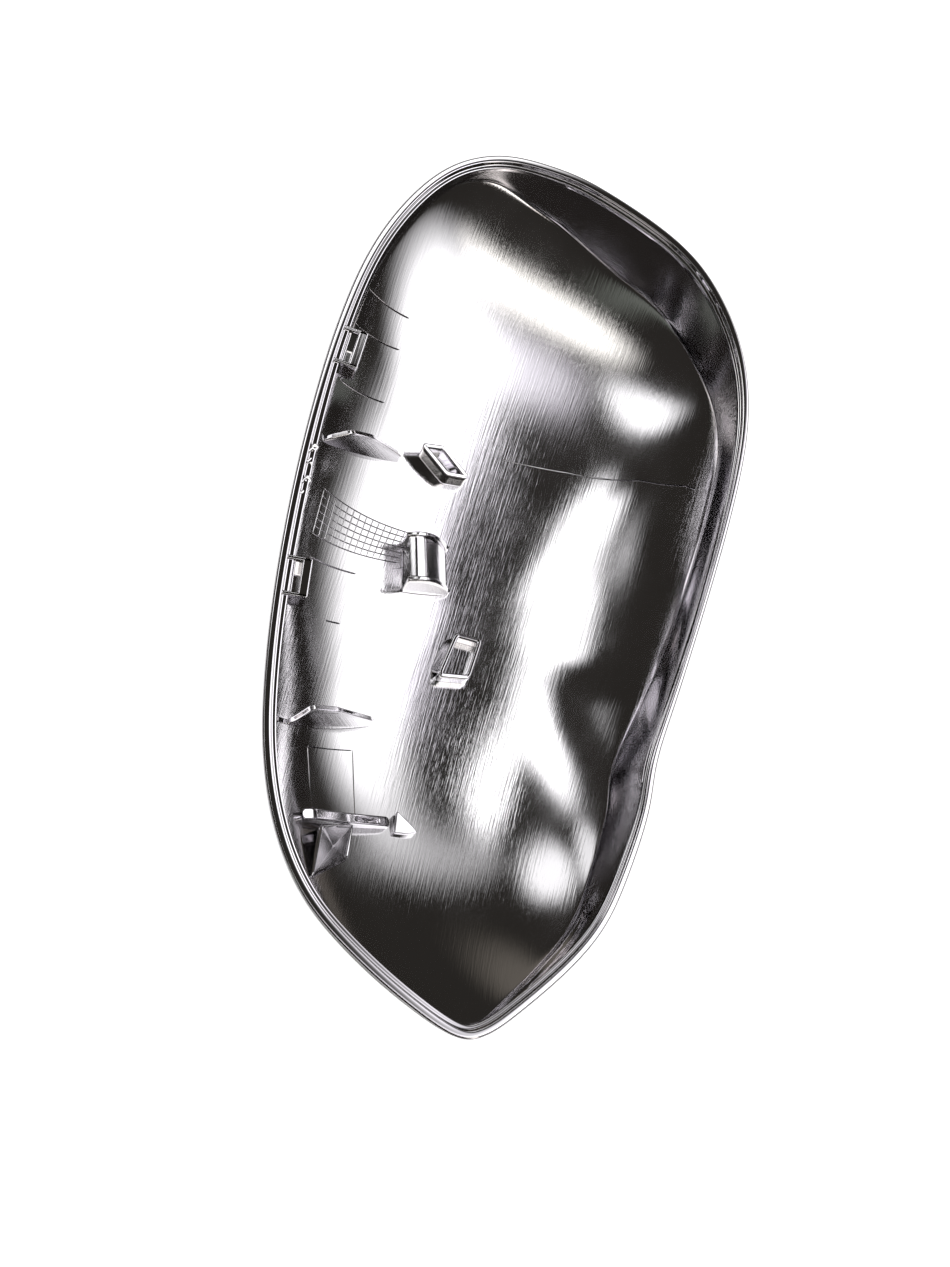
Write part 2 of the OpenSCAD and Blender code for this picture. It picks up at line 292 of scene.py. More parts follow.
def corners_cut(profile, shares):
    """Cuts a share off both ends of each edge, pass by pass, so corners turn into short curves."""
    for share in shares:
        near, far = profile[:-1], profile[1:]
        cut = np.stack([near + share * (far - near), far + share * (near - far)], axis=1)
        profile = np.concatenate([profile[:1], cut.reshape(-1, *profile.shape[1:]), profile[-1:]])
    return profile


square_lean = lean / wall_slant
rim_corners = [
    (0, -OUTER_DROP), (0, -BEVEL), (BEVEL, 0), (face_width, 0), (face_width + STEP_SLOPE, -LIP_DROP),
    (rim_width, -LIP_DROP), (rim_width, -LIP_DROP - RIM_REACH),
]
profile = np.array([
    [inset - drop * square_lean, drop + 0 * square_lean] for inset, drop in rim_corners
])
profile = corners_cut(profile.transpose(0, 2, 1), CORNER_CUTS)[1:-1]
rim_rings = np.concatenate(
    [rim + profile[..., :1] * rim_inward, DRAWN_DEPTH + profile[..., 1:]], axis=-1
)
print(f"rim rings {rim_rings.shape}")

# %% [markdown]
# ## From arrays to a mesh
# Grids of points become quads by index arithmetic on whole arrays. A grid can close on itself in
# either direction, and a pole closes an open end with a fan of triangles.

# %% Mesh from a grid
RIB_POLISH = 0.8
made = []


def grid_faces(rows, columns, wrap_rows=False):
    """Quads between neighbouring rows and columns. Columns always close on themselves."""
    row, column = np.meshgrid(
        np.arange(rows if wrap_rows else rows - 1), np.arange(columns), indexing="ij"
    )
    next_row, next_column = (row + 1) % rows, (column + 1) % columns
    corners = [row * columns + column, row * columns + next_column,
               next_row * columns + next_column, next_row * columns + column]
    return np.stack(corners, axis=-1).reshape(-1, 4)


def faces_outwards(points, quads):
    """Whether the quads' two triangles, as corner products, add up to a positive volume."""
    a, b, c, d = (points[quads[:, k]] for k in range(4))
    first, second = np.cross(b, c), np.cross(c, d)
    return (np.einsum("ij,ij->i", a, first) + np.einsum("ij,ij->i", a, second)).sum() > 0


def pole_fans(rows, columns):
    """Triangles from a grid's first and last ring to two more points, which follow the grid's own."""
    ring, after = np.arange(columns), (np.arange(columns) + 1) % columns
    top = (rows - 1) * columns
    first, last = rows * columns, rows * columns + 1
    return np.concatenate([np.stack([0 * ring + first, after, ring], axis=1),
                           np.stack([0 * ring + last, top + ring, top + after], axis=1)])


def lean_normals(mesh, share):
    """Scales the sideways part of each vertex normal by a share and gives the mesh the result."""
    normals = np.empty(3 * len(mesh.vertices))
    mesh.vertices.foreach_get("normal", normals)
    normals = normals.reshape(-1, 3) * np.stack([share, share, np.ones_like(share)], axis=1)
    normals /= np.linalg.norm(normals, axis=1, keepdims=True)
    mesh.normals_split_custom_set_from_vertices(normals)


def piece(name, *grids, poles=None, polish=RIB_POLISH, lean_share=None):
    """One object from several grids of drawn points. A grid is an array, or an array and True where
    its rows close on themselves too. Open ends get a pole each, in the middle of the end's ring."""
    points, faces, values = [], [], []
    for grid in grids:
        grid, ring_shaped = grid if isinstance(grid, tuple) else (grid, False)
        rows, columns = grid.shape[:2]
        start = sum(len(part) for part in points)
        ends = np.stack([grid[0].mean(0), grid[-1].mean(0)]) if poles is None else np.array(poles)
        spots = placed(np.concatenate([grid.reshape(-1, 3), ends]))
        quads, fans = grid_faces(rows, columns, ring_shaped), pole_fans(rows, columns)
        if not faces_outwards(spots - spots.mean(0), quads):
            quads, fans = quads[:, ::-1], fans[:, ::-1]
        points.append(spots)
        faces += (quads + start).tolist() + ([] if ring_shaped else (fans + start).tolist())
        values.append(np.full(len(spots), polish) if np.isscalar(polish) else np.r_[polish.ravel(), 0, 0])
    mesh = bpy.data.meshes.new(name)
    mesh.from_pydata(np.concatenate(points).tolist(), [], faces)
    mesh.attributes.new("polish", "FLOAT", "POINT").data.foreach_set("value", np.concatenate(values))
    mesh.polygons.foreach_set("use_smooth", np.ones(len(faces), bool))
    mesh.update()
    if lean_share is not None:
        lean_normals(mesh, lean_share)
    moulded = bpy.data.objects.new(name, mesh)
    bpy.context.scene.collection.objects.link(moulded)
    made.append(moulded)
    return moulded


print(f"pieces so far: {len(made)}")

# %% [markdown]
# The shell itself comes with one cheat, and it is better named than hidden: inside the bowl the
# normals that the shader sees lean less than the surface does, by one share for each side. The
# shares come from a fit of lights and shares together to the photograph's brightness. The cover's
# depth is an estimate, and a real bowl that is shallower would be one reason why such shares fit,
# but that wasn't tested by itself. The shape stays as it was drawn, and only its reflections change.

# %% Shell and the lean of its normals
BOWL_LEAN = [0.45, 0.37, 0.44, 0.53]

shell_grid = np.concatenate([outer, rim_rings, inner[::-1]])
shell_polish = np.concatenate([outer_polish, np.ones(rim_rings.shape[:2]), inner_polish[::-1]])
bowl_lean = 1 - (1 - by_side(BOWL_LEAN, rim_angle)) * (1 - inner_polish[::-1])
shell_lean = np.concatenate([np.ones(outer.shape[:2]), np.ones(rim_rings.shape[:2]), bowl_lean])
shell = piece("chrome_shell", shell_grid, poles=[[*LOW, 0], [*LOW, WALL]], polish=shell_polish,
              lean_share=np.r_[shell_lean.ravel(), 1, 1])
print(f"shell: {len(shell.data.polygons)} faces")

# %% [markdown]
# ## Ribs, clips and sockets
# Everything that stands up inside the cover is a thin wall on a path: a fin is a wall on a straight
# path whose top edge rises and falls, and a socket is a wall on a closed one. So one function makes
# them all. It carries a narrow section with a rounded top along the path, and starts inside the
# shell, where the inner skin hides its foot.

# %% Floor height and the wall on a path
FOOT_SINK = 1.0
LEAST_HEIGHT = 0.05
SIDE_POINTS, ARC_POINTS, CREST_POINTS = 5, 5, 11
ROUNDING = 0.35
ROUNDEST = 0.9
GROOVE_REACH, GROOVE_EDGE, GROOVE_LEFT = 0.6, 0.12, 0.02
THINNEST_END = 0.0004


def floor_height(xy):
    """Height of the inner skin's bowl over a place on the plan: the superellipse, at the share of the
    bowl's reach that the place lies out."""
    away = xy - LOW
    angle, radius = np.arctan2(away[..., 1], away[..., 0]), np.hypot(away[..., 0], away[..., 1])
    step = 0.02
    change = (reach(angle + step) - reach(angle - step)) / (2 * step) / reach(angle)
    share = np.clip(radius / (reach(angle) - WALL * np.sqrt(1 + change**2)), 0, 1)
    rise = (1 - share ** by_side(FLATNESS, angle)) ** (1 / FULLNESS)
    return DRAWN_DEPTH - (DRAWN_DEPTH - WALL) * rise


def wall_on_path(path, thick, top, bottom=None, closed=False, rounding=ROUNDING, groove=0.0):
    """Carries an upright section along a path. The section runs up one side, over a rounded top,
    which may dip in a groove, and down the other side."""
    count = len(path)
    way = np.roll(path, -1, 0) - np.roll(path, 1, 0) if closed else np.gradient(path, axis=0)
    way = way / np.linalg.norm(way, axis=1, keepdims=True)
    across = np.stack([-way[:, 1], way[:, 0]], axis=1)
    half = np.broadcast_to(np.asarray(thick, float) / 2, count)
    floor = floor_height(path) - FOOT_SINK if bottom is None else np.broadcast_to(bottom, count)
    top = np.maximum(np.broadcast_to(top, count), floor + LEAST_HEIGHT)
    turn = np.linspace(0, np.pi / 2, ARC_POINTS)
    round_by = np.minimum(rounding, ROUNDEST * half)
    climb = np.linspace(0, 1, SIDE_POINTS + 1)[:-1, None]
    side = np.repeat(-half[None], SIDE_POINTS, axis=0), floor + (top - round_by - floor) * climb
    arc = -half + round_by * (1 - np.cos(turn))[:, None], top - round_by * (1 - np.sin(turn))[:, None]
    span = np.linspace(-1, 1, CREST_POINTS + 2)[1:-1, None]
    dip = groove * smooth_step((GROOVE_REACH - np.abs(span)) / GROOVE_EDGE)
    crest = (half - round_by) * span, top - np.minimum(dip, top - floor - GROOVE_LEFT)
    offset = np.concatenate([side[0], arc[0], crest[0], -arc[0][::-1], -side[0][::-1]])
    height = np.concatenate([side[1], arc[1], crest[1], arc[1][::-1], side[1][::-1]])
    xy = path[None] + offset[..., None] * across[None]
    section = np.concatenate([xy, height[..., None]], axis=-1)
    return section.transpose(1, 0, 2), closed


def straight(place, bearing, start, end, count):
    """Points along a bearing in degrees from a place, closer together at both ends, and their
    distances."""
    s = start + (end - start) * (1 - np.cos(np.linspace(0, np.pi, count))) / 2
    way = np.array([np.cos(np.radians(bearing)), np.sin(np.radians(bearing))])
    return np.asarray(place) + s[:, None] * way, s


def tapered(thick, s, ending):
    """Thickness along a wall whose ends are rounded off over the length ending, as a quarter circle."""
    edge = np.minimum(s - s.min(), s.max() - s)
    return thick * np.sqrt(np.clip(1 - (1 - np.clip(edge / ending, 0, 1)) ** 2, THINNEST_END, 1))


print(f"floor under the middle: {floor_height(LOW):.1f} mm")

# %% [markdown]
# The two fins are thin blades that hold the cover off the housing. Their top edges rise from the
# clip edge to a shoulder and then fall steeply to the floor. The ledge between them and the pointed
# end is thicker and has a narrow slot in its edge.

# %% Fins and ledge
FIN_BEARING, LEDGE_BEARING = -60, -69
FIN_THICK, LEDGE_THICK = 1.4, 2.8
RIB_ENDING = 0.7
FIN_POINTS, LEDGE_POINTS = 60, 70
FINS = {
    "fin_big_end": ([27.6, 50.7], [
        [-5, 47], [-0.6, 48.4], [5.2, 49.4], [12.6, 40.9], [23.4, 19.3], [24, 16],
    ]),
    "fin_pointed_end": ([-50.4, 37.6], [
        [-5, 40], [0, 45], [1.9, 51], [3.9, 58], [12.3, 46.4], [25.5, 19.5], [26.2, 16],
    ]),
}
LEDGE_PLACE = [-73, 25]
LEDGE_TOP = np.array([[-3, 47], [0, 46.3], [10.3, 34.8], [23, 23], [23.6, 20.5]])
SLOT_DEPTH, SLOT_START, SLOT_END, SLOT_EDGE = 4, 13, 20, 0.6
EASE, EASE_SAMPLES = 0.7, 7


def edge_over(s, corners):
    """Height of a top edge through its corners: the mean over a short stretch, which eases each
    corner."""
    corners = np.asarray(corners, float)
    shifts = np.linspace(-EASE, EASE, EASE_SAMPLES)
    return np.mean([np.interp(s + shift, corners[:, 0], corners[:, 1]) for shift in shifts], axis=0)


for name, (place, corners) in FINS.items():
    path, s = straight(place, FIN_BEARING, corners[0][0], corners[-1][0], FIN_POINTS)
    piece(name, wall_on_path(path, tapered(FIN_THICK, s, RIB_ENDING), edge_over(s, corners)))

ledge_path, s = straight(LEDGE_PLACE, LEDGE_BEARING, LEDGE_TOP[0, 0], LEDGE_TOP[-1, 0], LEDGE_POINTS)
slot = SLOT_DEPTH * smooth_step((s - SLOT_START) / SLOT_EDGE) * smooth_step((SLOT_END - s) / SLOT_EDGE)
ledge_thick = tapered(LEDGE_THICK, s, RIB_ENDING)
piece("ledge", wall_on_path(ledge_path, ledge_thick, edge_over(s, LEDGE_TOP), groove=slot))
print(f"fins: {', '.join(FINS)}, and a ledge {np.ptp(s):.1f} mm long")

# %% [markdown]
# A snap clip is a small box at the rim. Two slots cut through it leave a middle bar and a broad
# catch strip, which springs behind a hook of the housing. Each is built from walls: two end walls,
# the bar and the strip, with low fillings for the slots' floors.

# %% Snap clips
# Places along the rim, counted in outline points
CLIPS = {"front_clip": 6.22, "rear_clip": 8.92}
CLIP_LENGTH, CLIP_END, CLIP_TOP = 10.9, 1.1, DRAWN_DEPTH - 0.5
CLIP_DEPTH = 10
CLIP_FROM, CLIP_TO = 2.2, 9.1
CLIP_ROUNDING = 0.3
CLIP_POINTS = 24

# Distance from the rim, thickness, top and height of each wall along the rim
CLIP_WALLS = {
    "bar": (4.4, 0.9, CLIP_TOP - 1.5, 9), "catch": (7.8, 2.6, CLIP_TOP, CLIP_DEPTH),
    "outer_floor": (3.2, 1.8, CLIP_TOP - 5, 5), "inner_floor": (5.8, 2.2, CLIP_TOP - 8, 3),
}


def rim_point(place):
    """Point and inward direction of the rim at a place counted in outline points."""
    at = place * STEPS
    pick = lambda values: np.array([np.interp(at, np.arange(len(rim)), values[:, k]) for k in (0, 1)])
    return pick(rim), pick(rim_inward)


def clip_wall(path, s, thick, top, height):
    """Upright wall of a clip, a height tall under its top."""
    return wall_on_path(path, tapered(thick, s, CLIP_ROUNDING), top, top - height,
                        rounding=CLIP_ROUNDING)


for clip_name, place in CLIPS.items():
    foot, inward = rim_point(place)
    along = np.array([-inward[1], inward[0]])
    walls = []
    s = np.linspace(-1, 1, CLIP_POINTS) * CLIP_LENGTH / 2
    for distance, thick, top, height in CLIP_WALLS.values():
        path = foot + inward * distance + s[:, None] * along
        walls.append(clip_wall(path, s, thick, top, height))
    s = np.linspace(CLIP_FROM, CLIP_TO, CLIP_POINTS)
    for side in (-1, 1):
        path = foot + inward * s[:, None] + side * (CLIP_LENGTH - CLIP_END) / 2 * along
        walls.append(clip_wall(path, s, CLIP_END, CLIP_TOP, CLIP_DEPTH))
    piece(clip_name, *walls)
    print(f"{clip_name}: {len(walls)} walls")

# %% [markdown]
# Half way between the clips the rim shows where the melt entered: the gate was torn off and left a
# rough, lumpy strip. Sine waves of unlike length make its width and height uneven.

# %% Gate scar
SCAR_PLACES = (7.3, 8.05)
SCAR_POINTS = 140
SCAR_WAVES = (61, 97, 173)
SCAR_FROM_RIM, SCAR_WANDER = 2.6, 0.7
SCAR_THIN, SCAR_THICK, SCAR_SWELL = 0.5, 1.6, 0.6
SCAR_DROP, SCAR_BUMP, SCAR_SHIFT = 1.5, 0.8, 5
SCAR_FOOT = 5
SCAR_ENDING = 0.1
SCAR_ROUNDING = 0.4

scar_place = np.linspace(*SCAR_PLACES, SCAR_POINTS)
scar_at = [rim_point(place) for place in scar_place]
lumps = np.sin(scar_place * SCAR_WAVES[0]) * np.sin(scar_place * SCAR_WAVES[1] + 1)
lumps += 0.5 * np.sin(scar_place * SCAR_WAVES[2])
scar_path = np.array([
    point + inward * (SCAR_FROM_RIM + SCAR_WANDER * lump) for (point, inward), lump in zip(scar_at, lumps)
])
to_end = np.minimum(scar_place - SCAR_PLACES[0], SCAR_PLACES[1] - scar_place)
scar_ends = smooth_step(to_end / SCAR_ENDING)
scar_thick = SCAR_THIN + (SCAR_THICK + SCAR_SWELL * lumps) * scar_ends
scar_top = DRAWN_DEPTH - SCAR_DROP + SCAR_BUMP * np.roll(lumps, SCAR_SHIFT) * scar_ends
piece("gate_scar", wall_on_path(scar_path, scar_thick, scar_top, DRAWN_DEPTH - SCAR_FOOT,
                                rounding=SCAR_ROUNDING))
print(f"gate scar: {scar_thick.min():.1f} to {scar_thick.max():.1f} mm wide")

# %% [markdown]
# The sockets take flat pegs of the housing. Each is a frame of thin walls round four corners. The
# lower one is held by a sloping skirt. Skirt, gusset and lug are solid lumps with a sloping face, so
# a second function makes them from the face's four corners.

# %% Sockets and blocks
SOCKET_WALL = 1.3
SLANT_SOCKET = np.array([[44.6, 24.6, 10.1], [46.7, 18.6, 7.6], [41.4, 9.4, 4.6], [40.1, 15.4, 5.8]])
LOW_SOCKET = np.array([[-3.8, -1.3, 2.8], [-3.4, -8.3, 2.7], [-15, -7.9, 3.3], [-17, 0.2, 3.9]])
SOCKETS = {"slanted_socket": (SLANT_SOCKET, 8), "low_socket": (LOW_SOCKET, 6)}

# Corners of each sloping face, depth under it and rounding of its edge
BLOCKS = {
    "socket_skirt": ([[-4.6, -1, 8.2], [-16.2, 0.3, 9], [-14.5, 2.6, 3.6], [-5.6, 1.3, 3.2]], 1.2, 0.3),
    "gusset": ([[-75.7, 22, 46.8], [-71, 13.5, 34.4], [-79.6, 12.6, 34.7], [-90, 21, 52.3]], 9, 0.7),
    "lug": ([[-60.8, 1.4, 20.2], [-64.3, -5, 19.3], [-65.2, -3.2, 19.8], [-66.5, 0.5, 21]], 3, 0.4),
}
EDGE_POINTS, BEND_POINTS = 24, 6
SOCKET_BEND, BLOCK_BEND = 0.12, 0.08
FACE_RINGS, SWELL_RINGS, FALL_RINGS = 10, 6, 6


def round_loop(corners, bend):
    """Closed path through corners, each replaced by a short arc that starts a share of the edge away:
    the curve that the corner pulls towards itself."""
    following = np.roll(corners, -1, axis=0)
    t = np.linspace(bend, 1 - bend, EDGE_POINTS)[None, :, None]
    edges = corners[:, None] * (1 - t) + following[:, None] * t
    u = np.linspace(0, 1, BEND_POINTS + 2)[None, 1:-1, None]
    a, b, c = edges[:, -1:], following[:, None], np.roll(edges[:, :1], -1, axis=0)
    arcs = (1 - u) ** 2 * a + 2 * u * (1 - u) * b + u**2 * c
    return np.concatenate([edges, arcs], axis=1).reshape(-1, corners.shape[1])


def block(name, corners, depth, rounding):
    """Closed block under a four-cornered face, as rings: shrunken copies of the rounded outline fill
    the face, then the outline swells over a quarter circle and drops to the foot, which stays inside
    the shell."""
    outline = round_loop(np.asarray(corners, float), BLOCK_BEND)
    centre = outline.mean(0)
    outward = outline[:, :2] - centre[:2]
    outward /= np.linalg.norm(outward, axis=1, keepdims=True)
    fill = centre + np.linspace(0.1, 1, FACE_RINGS)[:, None, None] * (outline - centre)
    turn = np.linspace(0, np.pi / 2, SWELL_RINGS + 1)[1:, None]
    fall = np.linspace(0, 1, FALL_RINGS + 1)[1:, None]
    swell = np.r_[rounding * np.sin(turn), np.full((FALL_RINGS, 1), rounding)]
    xy = outline[None, :, :2] + swell[..., None] * outward
    edge = outline[:, 2] - rounding
    foot = np.maximum(edge - depth, floor_height(xy[-1]) - FOOT_SINK)
    height = np.concatenate([edge + rounding * np.cos(turn), edge + (foot - edge) * fall])
    return piece(name, np.concatenate([fill, np.concatenate([xy, height[..., None]], axis=-1)]))


for name, (corners, rise) in SOCKETS.items():
    loop = round_loop(corners, SOCKET_BEND)
    piece(name, wall_on_path(loop[:, :2], SOCKET_WALL, loop[:, 2] + rise, closed=True))
for name, (corners, depth, rounding) in BLOCKS.items():
    block(name, corners, depth, rounding)
print(f"sockets: {', '.join(SOCKETS)}; blocks: {', '.join(BLOCKS)}")

# %% [markdown]
# The ramp boss is a short curved slide with a raised rib along each side. It could be a block with
# a bent top, and three walls side by side on one line give the same form: a broad one for the slide
# and a thin one for each rib.

# %% Ramp boss
RAMP_PLACE = [10.9, 18.9]
RAMP_BEARING, RAMP_LENGTH, RAMP_POINTS = -72, 14.4, 50
RAMP_FACE = [[0, 18.8], [2.2, 19.2], [4.6, 18.4], [7, 16.4], [9.2, 13.2], [11, 9.4], [12.6, 5]]
SLIDE_FROM, SLIDE_TO = -0.2, 12.8
SLIDE_GAP, SLIDE_ENDING, SLIDE_ROUNDING = 0.6, 0.4, 0.3
RIB_THICK, RIB_FROM, RIB_TO = 1.3, -0.9, 13.6
RIB_SHIFT, RIB_RISE, RAMP_RIB_ENDING = 0.4, 1.1, 0.5

slide_path, s = straight(RAMP_PLACE, RAMP_BEARING, SLIDE_FROM, SLIDE_TO, RAMP_POINTS)
slide_thick = tapered(RAMP_LENGTH - SLIDE_GAP, s, SLIDE_ENDING)
walls = [wall_on_path(slide_path, slide_thick, edge_over(s, RAMP_FACE), rounding=SLIDE_ROUNDING)]
square_bearing = np.radians(RAMP_BEARING + 90)
across = np.array([np.cos(square_bearing), np.sin(square_bearing)])
rib_path, s = straight(RAMP_PLACE, RAMP_BEARING, RIB_FROM, RIB_TO, RAMP_POINTS)
rib_top = edge_over(s - RIB_SHIFT, RAMP_FACE) + RIB_RISE
for side in (-1, 1):
    shifted = rib_path + side * (RAMP_LENGTH - RIB_THICK) / 2 * across
    walls.append(wall_on_path(shifted, tapered(RIB_THICK, s, RAMP_RIB_ENDING), rib_top))
piece("ramp_boss", *walls)
print(f"ramp boss: {len(walls)} walls, ribs up to {rib_top.max():.1f} mm high")

# %% [markdown]
# ## Marks of the mould
# The tool leaves fine raised lines on the floor: the joints round its lifters and inserts, a step
# across the bowl, and the empty grid of a date stamp. They are a tenth or two of a millimetre high,
# yet chrome shows each as a thin dark and bright pair, so they are modelled as low ridges that
# follow the bowl.

# %% Ridges on the floor
LIFTER_LINES = [
    [[70.8, 54.4], [75.4, 39.9]], [[60.6, 54.3], [66.7, 39.8]], [[44.6, 53.8], [51.4, 39.2]],
    [[-4.7, 46.3], [1.2, 32.0]], [[-16.9, 37.0], [-14.7, 32.2]],
]
STEP_LINE = [[52.4, 0.9], [54.2, -19], [54.6, -39], [51.5, -49.5], [49.5, -52]]
PAD = [[-53.4, 31.3], [-47.5, 18.2], [-66.1, 12.8], [-72.1, 24.7], [-53.4, 31.3]]
GRID = np.array([[[1.4, 47.8], [11.2, 21.2]], [[15.2, 48.4], [21.6, 19.6]]])
GRID_ROWS, GRID_COLUMNS = 6, 14

# Width and height of each kind of ridge
LIFTER_RIDGE, STEP_RIDGE, PAD_RIDGE, GRID_RIDGE = (0.5, 0.22), (0.6, 0.10), (0.4, 0.12), (0.35, 0.2)
RIDGE_SPACING, RIDGE_LEAST_POINTS = 0.7, 8
RIDGE_ENDING, RIDGE_SINK = 0.3, 0.5


def ridge(corners, width, height):
    """Low rounded wall along straight stretches between corners, following the floor."""
    corners = np.asarray(corners, float)
    distance = np.r_[0, np.cumsum(np.linalg.norm(np.diff(corners, axis=0), axis=1))]
    count = max(RIDGE_LEAST_POINTS, int(distance[-1] / RIDGE_SPACING))
    s = np.linspace(0, distance[-1], count)
    path = np.stack([np.interp(s, distance, corners[:, k]) for k in (0, 1)], axis=1)
    floor = floor_height(path)
    return wall_on_path(path, tapered(width, s, RIDGE_ENDING), floor + height, floor - RIDGE_SINK,
                        rounding=width / 2)


def across_grid(row, column):
    """Point of the date grid: the four corners weighted by how near each is."""
    return (GRID[0, 0] * (1 - row) * (1 - column) + GRID[0, 1] * (1 - row) * column
            + GRID[1, 0] * row * (1 - column) + GRID[1, 1] * row * column)


row_shares = [k / GRID_ROWS for k in range(GRID_ROWS + 1)]
column_shares = [k / GRID_COLUMNS for k in range(GRID_COLUMNS + 1)]
grid_lines = [[across_grid(share, 0), across_grid(share, 1)] for share in row_shares]
grid_lines += [[across_grid(0, share), across_grid(1, share)] for share in column_shares]

piece("lifter_lines", *[ridge(line, *LIFTER_RIDGE) for line in LIFTER_LINES])
piece("step_line", ridge(STEP_LINE, *STEP_RIDGE))
piece("pad_outline", ridge(PAD, *PAD_RIDGE))
piece("date_grid", *[ridge(line, *GRID_RIDGE) for line in grid_lines])
print(f"pieces: {len(made)}, with {len(grid_lines)} lines in the grid and {len(LIFTER_LINES)} lifter lines")

# %% [markdown]
# ## Chrome over ABS
# The moulding is chrome-plated ABS: copper and nickel under a film of chromium, so bright that its
# roughness is set by the mould. The steep wall and the rim were polished, and the bowl keeps the
# fine drawn grain of the tool, which blurs its reflections along one way. The grain runs along the
# cover, so the noise that makes it is stretched that way.

# %% Material
CHROME = "#dedcdf"
GRAIN_MM, GRAIN_LONG_MM = 0.5, 12
GRAIN_DETAIL, GRAIN_ROUGHNESS = 3.0, 0.6
GRAIN_STRENGTH, GRAIN_HEIGHT = 0.33, 0.0001
CLOUD_SCALE, CLOUD_DETAIL = 38.0, 4.0
CLOUD_LOW, CLOUD_HIGH = 0.35, 0.7
BOWL_ROUGHNESS = (0.06, 0.12)
POLISHED_ROUGHNESS = 0.03


def linear(code):
    """sRGB hex to linear light."""
    channels = [int(code[k:k + 2], 16) / 255 for k in (1, 3, 5)]
    return [*(c / 12.92 if c <= 0.04045 else ((c + 0.055) / 1.055) ** 2.4 for c in channels), 1]


def add(tree, kind, inputs=None, **settings):
    """Adds a node with its settings, and links or sets its inputs by name."""
    node = tree.nodes.new(kind)
    for key, value in settings.items():
        setattr(node, key, value)
    for key, value in (inputs or {}).items():
        if isinstance(value, bpy.types.NodeSocket):
            tree.links.new(value, node.inputs[key])
        else:
            node.inputs[key].default_value = value
    return node


def plated_abs():
    """Bright metal, grained and slightly rough in the bowl and smooth where the mould was polished."""
    material = bpy.data.materials.new("chrome_plated_abs")
    material.use_nodes = True
    tree = material.node_tree
    shader = tree.nodes["Principled BSDF"]
    shader.inputs["Metallic"].default_value = 1.0
    shader.inputs["Base Color"].default_value = linear(CHROME)
    polish = add(tree, "ShaderNodeAttribute", attribute_name="polish").outputs["Fac"]
    place = add(tree, "ShaderNodeTexCoord").outputs["Object"]
    stretch = (1000 / GRAIN_LONG_MM, 1000 / GRAIN_MM, 1000 / GRAIN_LONG_MM)
    along = add(tree, "ShaderNodeMapping", {"Vector": place, "Scale": stretch})
    grain = add(tree, "ShaderNodeTexNoise", {
        "Vector": along.outputs[0], "Scale": 1.0, "Detail": GRAIN_DETAIL, "Roughness": GRAIN_ROUGHNESS,
    })
    cloud = add(tree, "ShaderNodeTexNoise", {
        "Vector": place, "Scale": CLOUD_SCALE, "Detail": CLOUD_DETAIL,
    })
    rough = add(tree, "ShaderNodeMapRange", {
        "Value": cloud.outputs["Fac"], "From Min": CLOUD_LOW, "From Max": CLOUD_HIGH,
        "To Min": BOWL_ROUGHNESS[0], "To Max": BOWL_ROUGHNESS[1],
    })
    mixed = add(tree, "ShaderNodeMix", {"Factor": polish, "A": rough.outputs[0], "B": POLISHED_ROUGHNESS})
    tree.links.new(mixed.outputs["Result"], shader.inputs["Roughness"])
    strength = add(tree, "ShaderNodeMapRange", {"Value": polish, "To Min": GRAIN_STRENGTH, "To Max": 0.0})
    bump = add(tree, "ShaderNodeBump", {
        "Height": grain.outputs["Fac"], "Strength": strength.outputs[0], "Distance": GRAIN_HEIGHT,
    })
    tree.links.new(bump.outputs[0], shader.inputs["Normal"])
    return material


chrome = plated_abs()
for moulded in made:
    moulded.data.materials.append(chrome)
    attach(moulded, "root")
    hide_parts("mirror_cover")
print(f"material on {len(made)} pieces")

# %% [markdown]
# ## The studio
# The floor is pale and matt, and a little glow that only the camera sees brings it up to white. It
# keeps the soft shadow under the cover.

# %% Floor
FLOOR_HALF = 3
FLOOR_COLOUR = "#f2f2f2"
FLOOR_ROUGHNESS = 0.9
FLOOR_GLOW = 0.85


def pale_floor():
    """Wide plain floor: a pale matt surface that the camera sees as white."""
    mesh = bpy.data.meshes.new("floor")
    corners = [(x * FLOOR_HALF, y * FLOOR_HALF, 0) for x, y in ((-1, -1), (1, -1), (1, 1), (-1, 1))]
    mesh.from_pydata(corners, [], [(0, 1, 2, 3)])
    material = bpy.data.materials.new("floor")
    material.use_nodes = True
    tree = material.node_tree
    shader = tree.nodes["Principled BSDF"]
    shader.inputs["Base Color"].default_value = linear(FLOOR_COLOUR)
    shader.inputs["Roughness"].default_value = FLOOR_ROUGHNESS
    ray = add(tree, "ShaderNodeLightPath")
    white = add(tree, "ShaderNodeEmission", {"Color": (1, 1, 1, 1), "Strength": FLOOR_GLOW})
    both = add(tree, "ShaderNodeAddShader", {0: shader.outputs[0], 1: white.outputs[0]})
    shown = add(tree, "ShaderNodeMixShader", {
        0: ray.outputs["Is Camera Ray"], 1: shader.outputs[0], 2: both.outputs[0],
    })
    tree.links.new(shown.outputs[0], tree.nodes["Material Output"].inputs["Surface"])
    mesh.materials.append(material)
    ground = bpy.data.objects.new("floor", mesh)
    bpy.context.scene.collection.objects.link(ground)
    return ground


ground = pale_floor()
print(f"floor: {ground.dimensions.x:.0f} m wide")

# %% [markdown]
# The light itself is painted on the sky as a few soft windows. Each is an ellipse on the plan of the
# sky, seen from below: its middle and its half widths are parts of a direction along X and Y. Chrome
# turns them into its bright fields, and the dim sky between them into its dark ones. Nine of them
# stand about where the fit to the photograph's brightness put its lights, with widths and strengths
# changed one by one. The others were placed by comparing the picture with the photograph.

# %% Sky with soft windows
SKY = "#2a2825"
LIGHT = 1.15
WINDOW_CORE = 0.4

